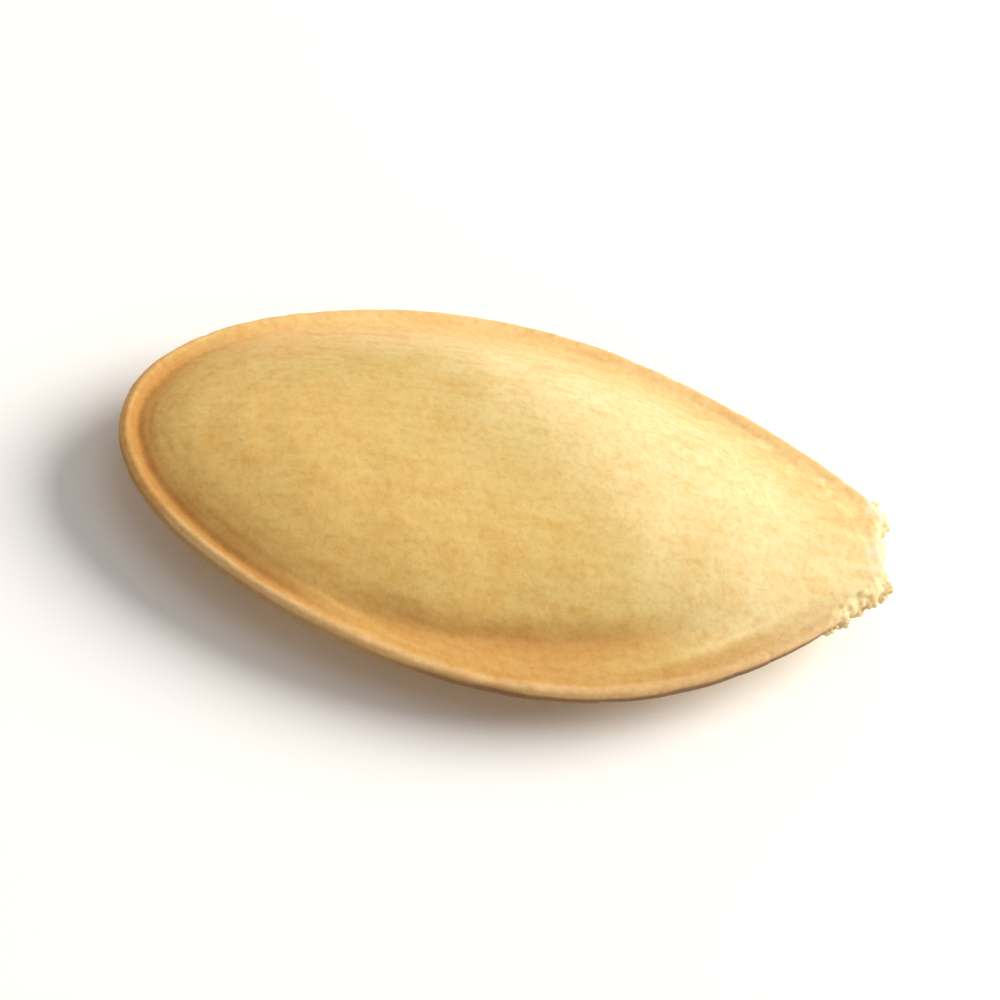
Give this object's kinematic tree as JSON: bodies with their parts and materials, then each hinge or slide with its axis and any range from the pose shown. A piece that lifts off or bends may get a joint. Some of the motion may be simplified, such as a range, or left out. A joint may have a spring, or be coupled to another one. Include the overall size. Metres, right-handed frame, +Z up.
{
  "type": "pumpkin seed",
  "caption": "Dried pumpkin seed in its shell: flat oval with two domed faces, a thin raised lip and a blunt, frayed hilum end.",
  "frame": {"origin": "on the resting surface, under the middle of the seed's bounding box", "axes": "+X along the seed to its hilum (pointed) end, +Y across it, +Z up through its upper face"},
  "size_m": [0.018, 0.0102, 0.0032],
  "materials": {
    "seed_shell": "dry papery seed shell: matte and slightly chalky, pale golden tan, a little paler on the lip and nearly cream at the hilum"
  },
  "bodies": {
    "root": {"pumpkin_seed": "seed_shell"}
  },
  "joints": []
}
